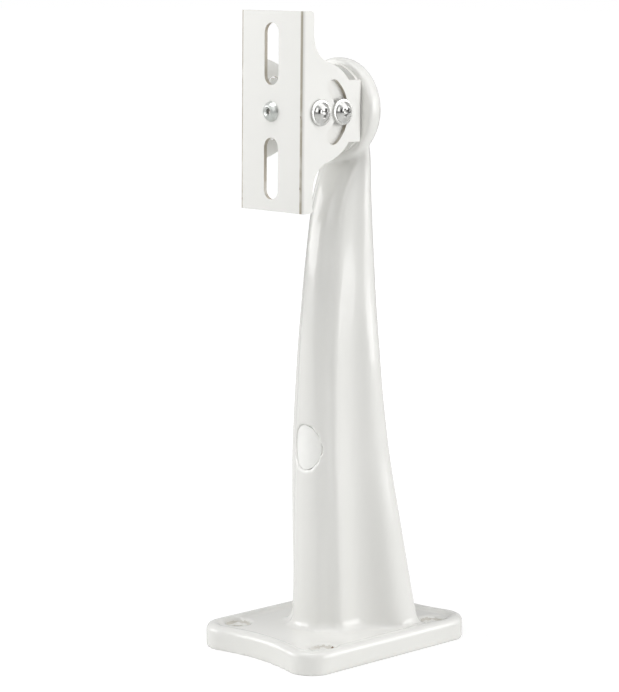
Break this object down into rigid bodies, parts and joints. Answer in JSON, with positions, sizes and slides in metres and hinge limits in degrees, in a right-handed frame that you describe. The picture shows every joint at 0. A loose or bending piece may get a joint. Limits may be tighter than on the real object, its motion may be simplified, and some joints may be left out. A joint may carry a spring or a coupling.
{
  "type": "camera wall bracket",
  "caption": "White cast wall bracket for a security camera: a tapered arm on a screw-down wall plate, a swivelling yoke and a tilting slotted camera plate held by cross-recessed screws.",
  "frame": {"origin": "middle of the wall plate's underside, where it lies against the wall", "axes": "+Z along the arm away from the wall, -Y toward the side on which the camera plate sits, X across the arm, which is mirrored about X = 0"},
  "size_m": [0.0662, 0.0906, 0.2502],
  "materials": {
    "white_coat": "semi-gloss white powder coat on a zinc or aluminium casting",
    "white_sheet": "semi-gloss white powder coat on bent sheet steel",
    "white_plastic": "satin white plastic",
    "bright_zinc": "bright zinc-plated steel",
    "dark_steel": "broken-off steel mandrel"
  },
  "bodies": {
    "arm": {"arm_casting": "white_coat", "cable_hole_plug": "white_plastic", "pan_bolt": "bright_zinc", "pan_washer": "bright_zinc", "pan_spring_washer": "bright_zinc", "pan_nut": "bright_zinc"},
    "yoke": {"swivel_yoke": "white_sheet", "pivot_screw_right": "bright_zinc", "pivot_washer_right": "bright_zinc", "pivot_nut_right": "bright_zinc", "clamp_screw_right": "bright_zinc", "clamp_washer_right": "bright_zinc", "clamp_nut_right": "bright_zinc", "pivot_screw_left": "bright_zinc", "pivot_washer_left": "bright_zinc", "pivot_nut_left": "bright_zinc", "clamp_screw_left": "bright_zinc", "clamp_washer_left": "bright_zinc", "clamp_nut_left": "bright_zinc"},
    "bracket": {"camera_bracket": "white_sheet", "face_rivet": "bright_zinc", "rivet_mandrel": "dark_steel"}
  },
  "joints": [
    {"name": "pan", "type": "hinge", "parent": "arm", "child": "yoke", "pos_m": [0, -0.0035, 0.2125], "axis": [0, 1, 0], "continuous": true},
    {"name": "tilt", "type": "hinge", "parent": "yoke", "child": "bracket", "pos_m": [0, -0.0278, 0.2125], "axis": [1, 0, 0], "range_deg": [-35, 35]}
  ]
}
